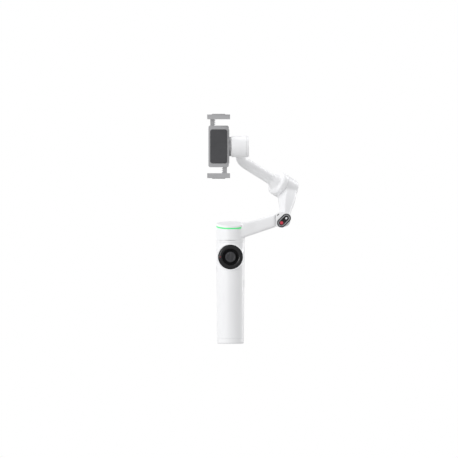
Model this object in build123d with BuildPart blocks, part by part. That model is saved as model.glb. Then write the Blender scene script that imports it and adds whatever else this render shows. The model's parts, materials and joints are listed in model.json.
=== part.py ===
from build123d import *

"""Three-axis hand-held gimbal stabilizer with folding arm, telescoping rod and self-centring clamp.

Frame: origin at the centre of the handle's bottom face, +Z up along the handle axis,
-Y towards the user (thumb stick side, the front), +X to the side that carries the arm (the
right). Millimetres. Each function marked @piece builds the solid it is named after.
"""

import math
import os

os.makedirs("parts", exist_ok=True)

# ================================================================ driving dimensions
FIT = 0.02  # radial clearance between turned parts

# handle
HANDLE_TOP = 131.3  # top of the handle shells
HANDLE_BOTTOM_R = 17.4  # handle radius at the base cap
HANDLE_TOP_R = 18.6  # handle radius at the top, and of the pan head
WALL = 2.0
CAP_TOP = 7.0  # seam between base cap and shells
SHELL_FLARE = 0.03  # the shells' foot is this much wider than the base radius
SPLIT_GAP = 0.03  # half the gap between the front and rear shells
SCREW_CIRCLE_R = 11.0
SCREW_COUNT = 3
SCREW_START = 30  # degrees
SCREW_HOLE_R = 1.12

# telescoping rod, off the handle axis
ROD_Y = 6.6
# outer radius, bore radius, bottom z, top z
OUTER_TUBE = (5.4, 4.9, 15.2, 129.2)
SECOND_TUBE = (4.85, 4.25, 15.7, 129.8)
THIRD_TUBE = (4.2, 3.6, 16.2, 130.3)
INNER_TUBE = (3.55, 2.7, 16.7, 133.0)

# slots in the side of the handle: y, z of the centre
USB_AT = (-3.2, 96)
POWER_AT = (-3.6, 78)

# thumb controls, all about the line along Y at PAD_Z
PAD_Z = 112.6
CAVITY_R = 16.05
BOSS_R = 17.2
PAD_R = 15.9
ZOOM_OUTER_R = 10.6
ZOOM_INNER_R = 8.2
STICK_CAP_R = 6.7
STICK_Y = -15.0  # pivot of the thumb stick

# rear trigger
TRIGGER_PIVOT = (14.3, 119.5)  # y, z
TRIGGER_PIN_R = 1.0

# pan head
COLLAR_TOP = 134.0
HEAD_BOTTOM = 134.3
PAN_SHAFT_R = 3.0
PAN_POST_R = 6.0
PAN_POST_BORE_R = 5.0
PAN_BEARING_Z = (136.0, 143.0)
RING_Z = 151.7  # underside of the light ring, on the axis
RING_HEIGHT = 1.8
RING_WIDTH = 2.5
RING_GAP = 0.03  # clearance above and below the ring
CAP_HEIGHT = 2.7
SLANT = math.radians(9.5)  # slant of the head's top towards the user
ROOT_X = 13.85  # where the arm's root takes over from the light ring
ROOT_FRONT_Y = -12.6
ROOT_REAR_Y = 7.6
ROOT_GAP = 0.05  # clearance of ring and cap round the root

# elbow
ELBOW_X = 69.4  # fold pin
ELBOW_Z = 159.9
ELBOW_FRONT_Y = -8.2
ELBOW_REAR_Y = 8.0
ELBOW_PIN_R = 3.0
ELBOW_KEY_OFFSET = 3.0  # of record key and mode light from the pin, along x and z
PILL_TURN = 45  # degrees, slant of the elbow's pill-shaped face
KEY_BORE_R = 2.2

# roll and tilt axes
CROSSING = Vector(-15.4, -4.0, 256.0)  # where roll and tilt axes cross
ROLL_AXIS = Vector(-0.716, -0.544, 0.438).normalized()  # towards the clamp
ROLL_SKETCH_X = Vector(0.438, 0, 0.716).normalized()

# stations on the roll axis, measured back from the crossing point
ROLL_FLOOR = 107.5  # floor of the roll arm's recess
ROLL_MOUTH = 112.6  # open front of the motor housing
ROLL_STATOR = 120.5
ROLL_REAR = 131.0  # rear face of the motor housing
ROLL_R = 16.0
ROLL_SHAFT_R = 2.5
ROLL_RECESS_R = 13.2
ROLL_BEARING_R = 5.6

# stations on the tilt axis, as x
TILT_LEFT = 1.3
TILT_RIGHT = 21.0
TILT_R = 13.7
TILT_SHAFT_R = 2.0
TILT_TUBE_R = 5.0  # fixed tube that carries the stator
TILT_TUBE_BORE_R = 4.0
TILT_BEARING_X = (6.0, 14.0)
TILT_ROTOR_X = 4.06
TILT_ROTOR_R = 11.6
TILT_ROTOR_BACK = 0.9

# clamp
CLAMP_PLATE_Y = -11.8  # rear face of the channel plate
CLAMP_PLATE_DEPTH = 5.2
RACK_Y = -12.0  # rear face of pinion and racks
RACK_DEPTH = 2.9
RACK_EDGE = 10.8  # outer edge of a rack, from the pinion's centre
RACK_TAIL = 9.5  # a rack runs this far past the pinion's centre
HALF_GRIP = 36.9  # half the held phone's width at rest
JAW_WIDTH = 29.6

# gearing: short rack addendum so that nothing undercuts
MODULE = 0.8
TEETH = 12
PRESSURE_ANGLE = math.radians(20)
PITCH_R = MODULE * TEETH / 2
BASE_R = PITCH_R * math.cos(PRESSURE_ANGLE)
TIP_R = PITCH_R + 0.75 * MODULE
DEDENDUM = 0.95 * MODULE
ROOT_R = PITCH_R - DEDENDUM
RACK_ADDENDUM = 0.62 * MODULE
BACKLASH = 0.09  # per flank
RACK_PITCH = math.pi * MODULE


# ================================================================ shared helpers
PIECES = []


def piece(build):
    """Register a function as the builder of the piece it is named after."""
    PIECES.append(build)
    return build


def level(z, y=0):
    """Sketch plane facing +Z."""
    return Plane(origin=(0, y, z), x_dir=(1, 0, 0), z_dir=(0, 0, 1))


def front_plane(y, x=0, z=0):
    """Sketch plane facing the user (-Y); sketch axes run along +X and +Z."""
    return Plane(origin=(x, y, z), x_dir=(1, 0, 0), z_dir=(0, -1, 0))


def side_plane(x, y=0, z=0):
    """Sketch plane facing +X; sketch axes run along +Y and +Z."""
    return Plane(origin=(x, y, z), x_dir=(0, 1, 0), z_dir=(1, 0, 0))


def pad_plane(y):
    return front_plane(y, 0, PAD_Z)


def stick_plane(x):
    """Plane facing +X, centred on the thumb stick's outer axis."""
    return side_plane(x, STICK_Y, PAD_Z)


def trigger_plane(x):
    return side_plane(x, *TRIGGER_PIVOT)


def elbow_plane(y):
    return front_plane(y, ELBOW_X, ELBOW_Z)


def record_plane(y):
    """Plane facing the user, centred on the record key."""
    return front_plane(y, ELBOW_X - ELBOW_KEY_OFFSET, ELBOW_Z - ELBOW_KEY_OFFSET)


def light_plane(y):
    """Plane facing the user, centred on the mode light."""
    return front_plane(y, ELBOW_X + ELBOW_KEY_OFFSET, ELBOW_Z + ELBOW_KEY_OFFSET)


def on_roll(back):
    """Point on the roll axis, this far behind the tilt axis."""
    return CROSSING - ROLL_AXIS * back


def roll_plane(back):
    """Plane across the roll axis, facing backwards, away from the clamp."""
    return Plane(origin=on_roll(back), x_dir=ROLL_SKETCH_X, z_dir=-ROLL_AXIS)


def tilt_plane(x):
    return side_plane(x, CROSSING.Y, CROSSING.Z)


def clamp_plane(y):
    return front_plane(y, CROSSING.X, CROSSING.Z)


def screw_circles(radius):
    """Circles at the base screws, drawn in the open sketch."""
    with PolarLocations(SCREW_CIRCLE_R, SCREW_COUNT, start_angle=SCREW_START):
        Circle(radius)


def disc_stack(*discs):
    """Part made of discs: plane, radius, bore radius (0 for none), height along the plane."""
    with BuildPart() as part:
        for plane, radius, bore, height in discs:
            with BuildSketch(plane):
                Circle(radius)
                if bore:
                    Circle(bore, mode=Mode.SUBTRACT)
            extrude(amount=height)
    return part.part


def bearings(planes, radius, bore):
    return disc_stack(*[(plane, radius, bore, 2.5) for plane in planes])


def stator(plane, core_r, tooth_at, tooth, shoe_at, shoe, bore, height):
    """Nine-toothed motor core; tooth and shoe are radial by tangential sizes."""
    with BuildPart() as part:
        with BuildSketch(plane):
            Circle(core_r)
            with PolarLocations(tooth_at, 9):
                Rectangle(*tooth)
            with PolarLocations(shoe_at, 9):
                Rectangle(*shoe)
            Circle(bore, mode=Mode.SUBTRACT)
        extrude(amount=height)
    return part.part


# ================================================================ handle
@piece
def base_cap():
    foot_r = HANDLE_BOTTOM_R
    spigot_r = 15.2  # fits inside the shells
    hole_r = 5.0
    spigot_top = 12.0
    # x, z
    profile = [
        (hole_r, 0), (foot_r - 1.4, 0), (foot_r - 0.4, 0.4), (foot_r, 1.4),
        (foot_r + SHELL_FLARE, CAP_TOP - 0.05), (spigot_r, CAP_TOP - 0.05),
        (spigot_r, spigot_top), (hole_r, spigot_top),
    ]
    with BuildPart() as part:
        with BuildSketch(front_plane(0)):
            with BuildLine():
                Polyline(*profile, close=True)
            make_face()
        revolve(axis=Axis.Z)
        # counterbores, then screw holes
        with BuildSketch(level(-0.01)):
            screw_circles(2.1)
        extrude(amount=3.0, mode=Mode.SUBTRACT)
        with BuildSketch(level(0)):
            screw_circles(SCREW_HOLE_R)
        extrude(amount=spigot_top, mode=Mode.SUBTRACT)
    return part.part


@piece
def tripod_insert():
    """Quarter-inch threaded insert, drawn at its minor diameter."""
    with BuildPart() as part:
        with BuildSketch(level(0)):
            Circle(4.98)
        extrude(amount=11.0)
        with BuildSketch(level(0)):
            Circle(2.55)
        extrude(amount=9.0, mode=Mode.SUBTRACT)
    return part.part


@piece
def base_screws():
    head_z = 1.0
    head_height = 1.95
    with BuildPart() as part:
        with BuildSketch(level(head_z)):
            screw_circles(2.0)
        extrude(amount=head_height)
        with BuildSketch(level(head_z + head_height)):
            screw_circles(1.08)
        extrude(amount=11.0)
        # hexagon sockets
        with BuildSketch(level(head_z)):
            with PolarLocations(SCREW_CIRCLE_R, SCREW_COUNT, start_angle=SCREW_START):
                RegularPolygon(0.9, 6)
        extrude(amount=1.0, mode=Mode.SUBTRACT)
    return part.part


# half-section of the handle wall: x, z
SHELL_PROFILE = [
    (HANDLE_BOTTOM_R + SHELL_FLARE, CAP_TOP),
    (HANDLE_TOP_R - 0.08, HANDLE_TOP - 0.1),
    (HANDLE_TOP_R - 0.18, HANDLE_TOP),
    (HANDLE_TOP_R - WALL - 0.1, HANDLE_TOP),
    (HANDLE_BOTTOM_R - WALL + SHELL_FLARE, CAP_TOP),
]


@piece
def handle_front_shell():
    with BuildPart() as part:
        with BuildSketch(front_plane(0)):
            with BuildLine():
                Polyline(*SHELL_PROFILE, close=True)
            make_face()
        revolve(axis=Axis.Z)
        # round boss that carries the control panel
        with BuildSketch(pad_plane(-8.0)):
            Circle(BOSS_R)
        extrude(amount=10.9)
        with BuildSketch(level(90)):
            Circle(16.0)
        extrude(amount=42, mode=Mode.SUBTRACT)
        with BuildSketch(pad_plane(-7.0)):
            Circle(CAVITY_R)
        extrude(amount=14, mode=Mode.SUBTRACT)
        # keep the front half only
        with BuildSketch(level(0)):
            with Locations((0, 25 - SPLIT_GAP)):
                Rectangle(60, 50)
        extrude(amount=150, mode=Mode.SUBTRACT)
        # charging port slot on the left, power key slot on the right
        with BuildSketch(side_plane(-20, *USB_AT)):
            SlotOverall(9.2, 3.4, rotation=90)
        extrude(amount=8, mode=Mode.SUBTRACT)
        with BuildSketch(side_plane(12, *POWER_AT)):
            SlotOverall(10.2, 4.4, rotation=90)
        extrude(amount=8, mode=Mode.SUBTRACT)
    return part.part


@piece
def handle_rear_shell():
    with BuildPart() as part:
        with BuildSketch(front_plane(0)):
            with BuildLine():
                Polyline(*SHELL_PROFILE, close=True)
            make_face()
        revolve(axis=Axis.Z)
        # keep the rear half only
        with BuildSketch(level(0)):
            with Locations((0, -25 + SPLIT_GAP)):
                Rectangle(60, 50)
        extrude(amount=150, mode=Mode.SUBTRACT)
        # trigger opening
        with BuildSketch(front_plane(10, z=109)):
            RectangleRounded(11.6, 29, 3.0)
        extrude(amount=-12, mode=Mode.SUBTRACT)
        # seats of the trigger's pin
        with BuildSketch(trigger_plane(-8.0)):
            Circle(TRIGGER_PIN_R + FIT)
        extrude(amount=16, mode=Mode.SUBTRACT)
    return part.part


@piece
def inner_frame():
    """Chassis: three plates on two side ribs."""
    frame_z = 12.1
    # bottom z, radius, thickness
    plates = [(frame_z, 15.2, 3.0), (83, 15.5, 2.6), (126, 15.9, 3.0)]
    with BuildPart() as part:
        for z, radius, thickness in plates:
            with BuildSketch(level(z)):
                Circle(radius)
            extrude(amount=thickness)
        with BuildSketch(level(frame_z)):
            with Locations((13.6, 3.0), (-13.6, 3.0)):
                Rectangle(1.6, 4.4)
        extrude(amount=116.9)
        with BuildSketch(level(12, ROD_Y)):
            Circle(OUTER_TUBE[0] + FIT)
        extrude(amount=130, mode=Mode.SUBTRACT)
        with BuildSketch(level(12)):
            screw_circles(SCREW_HOLE_R)
        extrude(amount=3.2, mode=Mode.SUBTRACT)
        # wiring notch and battery contact window at the front
        with BuildSketch(level(80, -13.5)):
            Rectangle(9, 9)
        extrude(amount=60, mode=Mode.SUBTRACT)
    return part.part


@piece
def battery_cell():
    cell_y = -7.0
    bottom = 16
    length = 64
    with BuildPart() as part:
        with BuildSketch(level(bottom, cell_y)):
            Circle(8.0)
        extrude(amount=length)
        fillet(part.edges().filter_by(GeomType.CIRCLE), 0.6)
        # contact button
        with BuildSketch(level(bottom + length, cell_y)):
            Circle(3.0)
        extrude(amount=1.2)
    return part.part


@piece
def main_board():
    thickness = 1.2
    with BuildPart() as part:
        with BuildSketch(front_plane(0, z=105)):
            Rectangle(22, 38)
        extrude(amount=thickness)
        # two square blocks on the front face
        with BuildSketch(front_plane(-thickness)):
            with Locations((0, 112)):
                Rectangle(8, 8)
            with Locations((5, 98)):
                Rectangle(5, 5)
        extrude(amount=1.0)
    return part.part


@piece
def usb_port():
    mouth_x = -17.55
    with BuildPart() as part:
        with BuildSketch(side_plane(mouth_x, *USB_AT)):
            SlotOverall(9.0, 3.2, rotation=90)
        extrude(amount=6.25)
        with BuildSketch(side_plane(mouth_x, *USB_AT)):
            SlotOverall(8.3, 2.5, rotation=90)
        extrude(amount=5.25, mode=Mode.SUBTRACT)
        # contact tongue
        with BuildSketch(side_plane(-16.9, *USB_AT)):
            Rectangle(0.7, 6.6)
        extrude(amount=5.1)
    return part.part


@piece
def power_button():
    with BuildPart() as part:
        with BuildSketch(side_plane(14.8, *POWER_AT)):
            SlotOverall(10.0, 4.2, rotation=90)
        extrude(amount=3.0)
        fillet(part.faces().sort_by(Axis.X)[-1].edges(), 0.35)
    return part.part


# ---------------------------------------------------------------- thumb controls
@piece
def control_pad():
    """Turned ring with a softly crowned face, falling away to its outer rim."""
    inner_r = ZOOM_OUTER_R + 0.12
    rear_y = -17.4
    inner_front = (inner_r, -19.3)  # x, y
    outer_front = (PAD_R, -18.2)
    crown = (13.3, -19.8)
    with BuildPart() as part:
        with BuildSketch(level(PAD_Z)):
            with BuildLine():
                Polyline(inner_front, (inner_r, rear_y), (PAD_R, rear_y), outer_front)
                ThreePointArc(outer_front, crown, inner_front)
            make_face()
        revolve(axis=Axis((0, 0, PAD_Z), (0, 1, 0)))
        # round marks sunk at the left and the right of the face
        for x in (-crown[0], crown[0]):
            with BuildSketch(front_plane(-19.62, x, PAD_Z)):
                Circle(0.75)
            extrude(amount=1.0, mode=Mode.SUBTRACT)
    return part.part


@piece
def zoom_ring():
    rear_y = -13.2
    with BuildPart() as part:
        with BuildSketch(pad_plane(rear_y)):
            Circle(ZOOM_OUTER_R)
            Circle(ZOOM_INNER_R, mode=Mode.SUBTRACT)
        extrude(amount=4.7)
        chamfer(part.faces().sort_by(Axis.Y)[0].edges(), 0.6)
        # grip notches round the outer rim below the face
        with BuildSketch(pad_plane(rear_y)):
            with PolarLocations(ZOOM_OUTER_R + 0.1, 24):
                Circle(0.5)
        extrude(amount=3.0, mode=Mode.SUBTRACT)
    return part.part


@piece
def joystick_housing():
    plate_y = -9.2
    plate_depth = 2.2
    with BuildPart() as part:
        with BuildSketch(pad_plane(plate_y)):
            Circle(14.0)
        extrude(amount=plate_depth)
        with BuildSketch(pad_plane(plate_y - plate_depth)):
            Circle(8.15)
            Circle(6.2, mode=Mode.SUBTRACT)
        extrude(amount=5.4)
        # bearing pockets of the outer stick axis
        with BuildSketch(stick_plane(-7.4)):
            Circle(0.85)
        extrude(amount=14.8, mode=Mode.SUBTRACT)
    return part.part


@piece
def joystick_gimbal_ring():
    """Ring with outer pins along X and bores for the stick's pins along Z."""
    depth = 1.8
    with BuildPart() as part:
        with BuildSketch(pad_plane(STICK_Y + depth / 2)):
            Circle(5.0)
            Circle(3.6, mode=Mode.SUBTRACT)
        extrude(amount=depth)
        for pin_x in (-7.2, 4.6):
            with BuildSketch(stick_plane(pin_x)):
                Circle(0.8)
            extrude(amount=2.6)
        with BuildSketch(level(PAD_Z - 5.6, STICK_Y)):
            Circle(0.65)
        extrude(amount=11.2, mode=Mode.SUBTRACT)
    return part.part


@piece
def joystick_cap():
    with BuildPart() as part:
        with BuildSketch(pad_plane(-20.0)):
            Circle(STICK_CAP_R)
        extrude(amount=1.7)
        fillet(part.faces().sort_by(Axis.Y)[0].edges(), 0.8)
        # thumb dish
        with BuildSketch(pad_plane(-21.2)):
            Circle(4.6)
        extrude(amount=1.0, mode=Mode.SUBTRACT)
        # stem
        with BuildSketch(pad_plane(-13.6)):
            Circle(1.8)
        extrude(amount=6.8)
        # inner pins
        with BuildSketch(level(PAD_Z - 4.8, STICK_Y)):
            Circle(0.6)
        extrude(amount=9.6)
    return part.part


@piece
def control_board():
    return disc_stack((pad_plane(-7.4), 13.1, 0, 1.2))


# ---------------------------------------------------------------- rear trigger
# side outline: y, z
TRIGGER_PROFILE = [
    (13.0, 121.0), (15.4, 121.4), (17.6, 120.0), (19.0, 114.0), (20.2, 106.0), (22.0, 99.0),
    (21.8, 96.6), (19.4, 96.6), (17.0, 104.0), (15.6, 113.0), (13.0, 117.6),
]


@piece
def trigger():
    width = 10.4
    with BuildPart() as part:
        with BuildSketch(side_plane(-width / 2)):
            with BuildLine():
                Polyline(*TRIGGER_PROFILE, close=True)
            make_face()
        extrude(amount=width)
        fillet(part.edges().filter_by(Axis.X).group_by(Axis.Y)[-1], 0.5)
        with BuildSketch(trigger_plane(-6)):
            Circle(TRIGGER_PIN_R + 0.03)
        extrude(amount=12, mode=Mode.SUBTRACT)
    return part.part


@piece
def trigger_pin():
    length = 15.6
    return disc_stack((trigger_plane(-length / 2), TRIGGER_PIN_R, 0, length))


# ---------------------------------------------------------------- telescoping rod
@piece
def rod_outer_tube():
    """Outer tube, closed by a floor below its bore."""
    radius, bore, bottom, top = OUTER_TUBE
    floor = 3.0
    with BuildPart() as part:
        with BuildSketch(level(bottom - floor, ROD_Y)):
            Circle(radius)
        extrude(amount=top - bottom + floor)
        with BuildSketch(level(bottom, ROD_Y)):
            Circle(bore)
        extrude(amount=120, mode=Mode.SUBTRACT)
    return part.part


def sliding_tube(radius, bore, bottom, top):
    return disc_stack((level(bottom, ROD_Y), radius, bore, top - bottom))


@piece
def rod_second_tube():
    return sliding_tube(*SECOND_TUBE)


@piece
def rod_third_tube():
    return sliding_tube(*THIRD_TUBE)


@piece
def rod_inner_tube():
    return sliding_tube(*INNER_TUBE)


# ================================================================ extension head, rides the rod
@piece
def extension_collar():
    bottom = HANDLE_TOP + 0.06
    with BuildPart() as part:
        with BuildSketch(level(bottom)):
            Circle(HANDLE_TOP_R - 0.05)
        extrude(amount=COLLAR_TOP - bottom)
        fillet(part.faces().sort_by(Axis.Z)[0].edges(), 0.12)
        # socket of the rod's inner tube
        with BuildSketch(level(HANDLE_TOP, ROD_Y)):
            Circle(INNER_TUBE[0] + FIT)
        extrude(amount=INNER_TUBE[3] + FIT - HANDLE_TOP, mode=Mode.SUBTRACT)
        # motor post
        with BuildSketch(level(COLLAR_TOP)):
            Circle(PAN_POST_R)
        extrude(amount=12.0)
        with BuildSketch(level(PAN_BEARING_Z[0])):
            Circle(PAN_POST_BORE_R)
        extrude(amount=12.0, mode=Mode.SUBTRACT)
    return part.part


@piece
def pan_stator():
    return stator(
        level(137.2), core_r=8.2, tooth_at=9.6, tooth=(3.6, 2.0), shoe_at=11.6, shoe=(1.2, 5.4),
        bore=PAN_POST_R + FIT, height=7.5,
    )


@piece
def pan_bearings():
    planes = [level(z) for z in PAN_BEARING_Z]
    return bearings(planes, PAN_POST_BORE_R - FIT, PAN_SHAFT_R + FIT)


# ================================================================ pan head, turns about Z
@piece
def pan_shaft():
    return disc_stack((level(136.1), PAN_SHAFT_R, 0, 12.7))


@piece
def pan_rotor():
    """Bell: a sleeve with a top plate."""
    radius = 14.6
    bottom = 136.8
    sleeve = 9.4
    return disc_stack(
        (level(bottom), radius, 12.6, sleeve),
        (level(bottom + sleeve), radius, PAN_SHAFT_R + FIT, 1.2),
    )


SLICE_Z = 140  # blanks cut by slanted planes start here
SLICE_HEIGHT = 30


def slant(z):
    """Plane across the head at height z on the axis, leaning towards the user."""
    return Plane(
        origin=(0, 0, z), x_dir=(1, 0, 0), z_dir=(0, -math.sin(SLANT), math.cos(SLANT))
    )


def root_rectangle(gap=0.0, mode=Mode.SUBTRACT):
    """Footprint of the arm's root, widened by gap, drawn in the open sketch."""
    with Locations((ROOT_X - gap + 20, (ROOT_FRONT_Y + ROOT_REAR_Y) / 2)):
        Rectangle(40, ROOT_REAR_Y - ROOT_FRONT_Y + 2 * gap, mode=mode)


def seat_cut():
    """The head's circle above the light ring's seat, less the arm's root."""
    with BuildPart() as part:
        with BuildSketch(level(SLICE_Z)):
            Circle(HANDLE_TOP_R + FIT)
            root_rectangle()
        extrude(amount=40)
        split(bisect_by=slant(RING_Z), keep=Keep.TOP)
    return part.part


ARM_END_X = 58.5
# side outline of the lower arm, tapering from its wide root to the elbow: x, z
LOWER_ARM_PROFILE = [
    (6, 137.8), (17.6, 137.8), (ARM_END_X, 151.5), (ARM_END_X, 168.6), (24.4, 158.6),
    (ROOT_X, 157.4), (6, 150.0),
]
# material cut from the arm's front, seen from above: x, y
ARM_FRONT_CUT = [
    (0, ROOT_FRONT_Y - 2), (ROOT_X, ROOT_FRONT_Y + 0.1), (22.0, -11.6), (32.0, -9.6),
    (60, -8.0), (60, ROOT_FRONT_Y - 8), (0, ROOT_FRONT_Y - 8),
]
# outlines of the cable channel, its cover and the flat cable: x, z
CHANNEL_PROFILE = [(24, 143.6), (55.6, 153.4), (55.6, 164.6), (24, 155.2)]
COVER_PROFILE = [(24.05, 143.7), (55.5, 153.45), (55.5, 164.5), (24.05, 155.1)]
CABLE_PROFILE = [(26, 147.5), (54, 156.2), (54, 161.6), (26, 152.9)]


def is_outer_arm_edge(edge):
    """True for edges on the arm's front and rear, clear of its root and its end face."""
    center = edge.center()
    return center.X > 40 and abs(center.X - ARM_END_X) > 2 and abs(center.Y) > 7


@piece
def pan_head_arm():
    """Head shell in one piece with the hollow lower arm, which is open to the rear."""
    seat = seat_cut()
    with BuildPart() as part:
        with BuildSketch(front_plane(ROOT_REAR_Y)):
            with BuildLine():
                Polyline(*LOWER_ARM_PROFILE, close=True)
            make_face()
        extrude(amount=ROOT_REAR_Y - ROOT_FRONT_Y)
        with BuildSketch(level(130)):
            with BuildLine():
                Polyline(*ARM_FRONT_CUT, close=True)
            make_face()
        extrude(amount=50, mode=Mode.SUBTRACT)
        fillet(part.edges().filter_by(is_outer_arm_edge), 3.0)
        with BuildSketch(level(HEAD_BOTTOM)):
            Circle(HANDLE_TOP_R)
        extrude(amount=17.0)
        with BuildSketch(level(HEAD_BOTTOM + 10)):
            Circle(HANDLE_TOP_R)
            root_rectangle()
        extrude(amount=14.0)
        # main cavity of the pan motor, and the shaft's bore
        with BuildSketch(level(HEAD_BOTTOM - 0.1)):
            Circle(15.4)
        extrude(amount=13.4, mode=Mode.SUBTRACT)
        with BuildSketch(level(HEAD_BOTTOM)):
            Circle(PAN_SHAFT_R + FIT)
        extrude(amount=15.5, mode=Mode.SUBTRACT)
        add(seat, mode=Mode.SUBTRACT)
        # cable channel, open to the rear and closed by the arm's cover
        with BuildSketch(front_plane(7.7)):
            with BuildLine():
                Polyline(*CHANNEL_PROFILE, close=True)
            make_face()
        extrude(amount=13.0, mode=Mode.SUBTRACT)
    return part.part


def flat_plate(y, outline, thickness):
    """Plate facing the user, from an outline in x, z."""
    with BuildPart() as part:
        with BuildSketch(front_plane(y)):
            with BuildLine():
                Polyline(*outline, close=True)
            make_face()
        extrude(amount=thickness)
    return part.part


@piece
def arm_rear_cover():
    return flat_plate(7.5, COVER_PROFILE, 1.5)


@piece
def arm_flex_cable():
    return flat_plate(2.0, CABLE_PROFILE, 0.8)


RING_END_Y = 1.5  # rear end of the light ring
RING_INNER_R = HANDLE_TOP_R - 0.1 - RING_WIDTH


@piece
def light_ring():
    """Arc from the left side round the front, flush with the head."""
    with BuildPart() as part:
        with BuildSketch(level(SLICE_Z)):
            Circle(HANDLE_TOP_R - 0.1)
            Circle(RING_INNER_R, mode=Mode.SUBTRACT)
            with Locations((0, 20 + RING_END_Y)):
                Rectangle(60, 40, mode=Mode.SUBTRACT)
            with Locations((ROOT_X - ROOT_GAP + 20, -20)):
                Rectangle(40, 60, mode=Mode.SUBTRACT)
        extrude(amount=SLICE_HEIGHT)
        split(bisect_by=slant(RING_Z + RING_GAP), keep=Keep.TOP)
        split(bisect_by=slant(RING_Z + RING_HEIGHT - RING_GAP), keep=Keep.BOTTOM)
    return part.part


@piece
def light_board():
    with BuildPart() as part:
        with BuildSketch(level(SLICE_Z)):
            Circle(HANDLE_TOP_R - 3.0)
            Circle(7.0, mode=Mode.SUBTRACT)
            root_rectangle(ROOT_GAP)
        extrude(amount=SLICE_HEIGHT)
        split(bisect_by=slant(RING_Z + RING_GAP), keep=Keep.TOP)
        split(bisect_by=slant(RING_Z + 1.0), keep=Keep.BOTTOM)
    return part.part


def rear_band():
    """Rear part of the ring's band, in one piece with the cap."""
    with BuildPart() as part:
        with BuildSketch(level(SLICE_Z)):
            Circle(HANDLE_TOP_R - 0.05)
            Circle(RING_INNER_R, mode=Mode.SUBTRACT)
            with Locations((0, -20 + RING_END_Y + 0.06)):
                Rectangle(60, 40, mode=Mode.SUBTRACT)
            root_rectangle(ROOT_GAP)
        extrude(amount=SLICE_HEIGHT)
        split(bisect_by=slant(RING_Z + RING_GAP), keep=Keep.TOP)
        split(bisect_by=slant(RING_Z + RING_HEIGHT), keep=Keep.BOTTOM)
    return part.part


@piece
def head_cap():
    band = rear_band()
    with BuildPart() as part:
        with BuildSketch(level(SLICE_Z)):
            Circle(HANDLE_TOP_R - 0.05)
        extrude(amount=SLICE_HEIGHT)
        split(bisect_by=slant(RING_Z + RING_HEIGHT), keep=Keep.TOP)
        split(bisect_by=slant(RING_Z + RING_HEIGHT + CAP_HEIGHT), keep=Keep.BOTTOM)
        fillet(part.faces().sort_by(Axis.Z)[-1].edges(), 1.7)
        with BuildSketch(level(SLICE_Z)):
            root_rectangle(ROOT_GAP, mode=Mode.ADD)
        extrude(amount=SLICE_HEIGHT, mode=Mode.SUBTRACT)
        add(band)
    return part.part


# ---------------------------------------------------------------- elbow, fixed to the lower arm
# outline of the block behind the pill: x, z
ELBOW_PROFILE = [
    (58.7, 151.6), (64.5, 152.6), (66.4, 156.9), (72.4, 162.9), (72.0, 167.0), (69.0, 170.4),
    (65.5, 171.2), (61.6, 170.2), (58.7, 168.6),
]


@piece
def elbow_block():
    with BuildPart() as part:
        with BuildSketch(front_plane(ELBOW_REAR_Y)):
            with BuildLine():
                Polyline(*ELBOW_PROFILE, close=True)
            make_face()
            with Locations((ELBOW_X, ELBOW_Z)):
                SlotOverall(21.3, 12.3, rotation=PILL_TURN)
        extrude(amount=ELBOW_REAR_Y - ELBOW_FRONT_Y)
        with BuildSketch(elbow_plane(12)):
            Circle(ELBOW_PIN_R + FIT)
        extrude(amount=18.5, mode=Mode.SUBTRACT)
        # pocket for the button panel
        with BuildSketch(elbow_plane(-7.2)):
            SlotOverall(20.35, 11.35, rotation=PILL_TURN)
        extrude(amount=2.0, mode=Mode.SUBTRACT)
        # bore for the record key's stem
        with BuildSketch(record_plane(-5.0)):
            Circle(KEY_BORE_R)
        extrude(amount=3.0, mode=Mode.SUBTRACT)
    return part.part


@piece
def elbow_panel():
    with BuildPart() as part:
        with BuildSketch(elbow_plane(-7.25)):
            SlotOverall(20.3, 11.3, rotation=PILL_TURN)
        extrude(amount=2.0)
        chamfer(part.faces().sort_by(Axis.Y)[0].edges(), 0.4)
        # groove of the trim
        with BuildSketch(elbow_plane(-8.75)):
            SlotOverall(17.6, 8.6, rotation=PILL_TURN)
            SlotOverall(15.9, 6.9, rotation=PILL_TURN, mode=Mode.SUBTRACT)
        extrude(amount=1.0, mode=Mode.SUBTRACT)
        # openings of the record key and the mode light
        with BuildSketch(record_plane(-7.0)):
            Circle(KEY_BORE_R)
        extrude(amount=3.0, mode=Mode.SUBTRACT)
        with BuildSketch(light_plane(-8.6)):
            Rectangle(2.1, 2.7, rotation=-PILL_TURN)
        extrude(amount=1.0, mode=Mode.SUBTRACT)
    return part.part


@piece
def elbow_trim():
    with BuildPart() as part:
        with BuildSketch(elbow_plane(-8.76)):
            SlotOverall(17.56, 8.56, rotation=PILL_TURN)
            SlotOverall(15.94, 6.94, rotation=PILL_TURN, mode=Mode.SUBTRACT)
        extrude(amount=0.55)
    return part.part


@piece
def record_button():
    with BuildPart() as part:
        with BuildSketch(record_plane(-6.1)):
            Circle(KEY_BORE_R - 0.1)
        extrude(amount=3.5)
        fillet(part.faces().sort_by(Axis.Y)[0].edges(), 0.3)
    return part.part


@piece
def mode_light():
    with BuildPart() as part:
        with BuildSketch(light_plane(-8.61)):
            Rectangle(2.06, 2.66, rotation=-PILL_TURN)
        extrude(amount=0.7)
    return part.part


@piece
def elbow_pin():
    """Pin with a wider head at its rear end."""
    shank_y = 23.4
    head = 1.2
    return disc_stack(
        (elbow_plane(shank_y), ELBOW_PIN_R, 0, 28.5),
        (elbow_plane(shank_y + head), 4.6, 0, head),
    )


@piece
def elbow_washer():
    return disc_stack((elbow_plane(8.65), 6.5, ELBOW_PIN_R + FIT, 0.6))


# ================================================================ upper arm, folds about the elbow
KNUCKLE_FRONT_Y = 8.7
KNUCKLE_REAR_Y = 22.0
ARM_NORMAL = Vector(0, 0.62, 0.785)
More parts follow.
